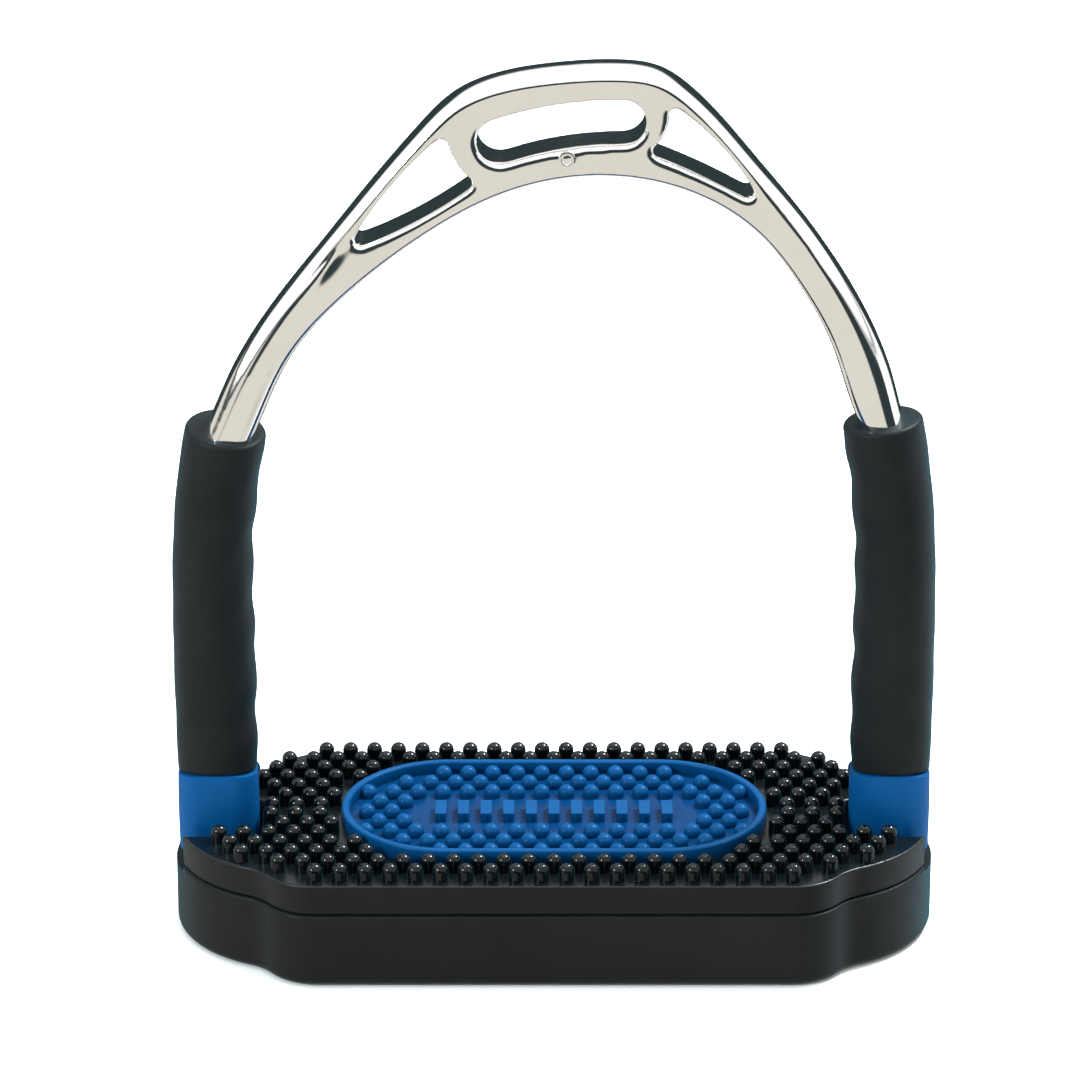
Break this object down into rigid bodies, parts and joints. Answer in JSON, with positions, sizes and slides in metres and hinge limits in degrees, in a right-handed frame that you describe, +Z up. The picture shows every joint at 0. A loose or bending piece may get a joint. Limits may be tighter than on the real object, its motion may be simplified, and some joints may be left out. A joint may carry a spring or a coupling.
{
  "type": "stirrup iron",
  "caption": "Flexible stirrup iron: arched steel bow with a leather slot, rubber-sleeved jointed side arms, and a studded rubber tread with a coloured insert.",
  "frame": {"origin": "on the floor, under the middle of the tread", "axes": "+X towards the right arm, +Y to the back of the tread, +Z up towards the leather slot"},
  "size_m": [0.154, 0.065, 0.182],
  "materials": {
    "bow_steel": "mirror-polished stainless steel",
    "frame_steel": "plain machined steel",
    "hardware_steel": "turned steel",
    "bush_nylon": "natural nylon",
    "base_plastic": "satin moulded black",
    "pad_rubber": "glossy moulded rubber",
    "insert_rubber": "satin moulded rubber",
    "collar_rubber": "satin moulded rubber",
    "sleeve_rubber": "satin rubber"
  },
  "bodies": {
    "tread": {"base_shell": "base_plastic", "tread_frame": "frame_steel", "base_screws": "hardware_steel", "tread_pad": "pad_rubber", "tread_insert": "insert_rubber", "left_swivel_pin": "hardware_steel", "right_swivel_pin": "hardware_steel", "left_circlip": "hardware_steel", "right_circlip": "hardware_steel"},
    "left_knuckle": {"left_knuckle": "frame_steel", "left_collar": "collar_rubber", "left_swivel_bush": "bush_nylon", "left_lower_pin": "hardware_steel"},
    "right_knuckle": {"right_knuckle": "frame_steel", "right_collar": "collar_rubber", "right_swivel_bush": "bush_nylon", "right_lower_pin": "hardware_steel"},
    "left_link": {"left_link": "frame_steel", "left_lower_bush": "bush_nylon", "left_upper_pin": "hardware_steel", "left_sleeve": "sleeve_rubber"},
    "right_link": {"right_link": "frame_steel", "right_lower_bush": "bush_nylon", "right_upper_pin": "hardware_steel", "right_sleeve": "sleeve_rubber"},
    "bow": {"bow": "bow_steel", "left_upper_bush": "bush_nylon", "right_upper_bush": "bush_nylon"}
  },
  "joints": [
    {"name": "tilt", "type": "hinge", "parent": "tread", "child": "left_knuckle", "pos_m": [-0.0681, 0, 0.0105], "axis": [1, 0, 0], "range_deg": [-10, 10], "stiffness_Nm_per_rad": 10},
    {"name": "sway", "type": "hinge", "parent": "left_knuckle", "child": "left_link", "pos_m": [-0.0681, 0, 0.05], "axis": [0, 1, 0], "range_deg": [-12, 12], "stiffness_Nm_per_rad": 8, "deforming": ["left_sleeve", "right_sleeve"]},
    {"name": "bow_level", "type": "hinge", "parent": "left_link", "child": "bow", "pos_m": [-0.0681, 0, 0.084], "axis": [0, 1, 0], "range_deg": [-12, 12], "deforming": ["left_sleeve", "right_sleeve"]},
    {"name": "right_upper_pivot", "type": "hinge", "parent": "bow", "child": "right_link", "pos_m": [0.0681, 0, 0.084], "axis": [0, 1, 0], "range_deg": [-12, 12], "deforming": ["left_sleeve", "right_sleeve"]},
    {"name": "right_lower_pivot", "type": "hinge", "parent": "right_link", "child": "right_knuckle", "pos_m": [0.0681, 0, 0.05], "axis": [0, 1, 0], "range_deg": [-12, 12], "deforming": ["left_sleeve", "right_sleeve"]}
  ],
  "couplings": [
    {"joint": "bow_level", "follows": "sway", "ratio": -1},
    {"joint": "right_upper_pivot", "follows": "sway", "ratio": 1},
    {"joint": "right_lower_pivot", "follows": "sway", "ratio": -1}
  ]
}
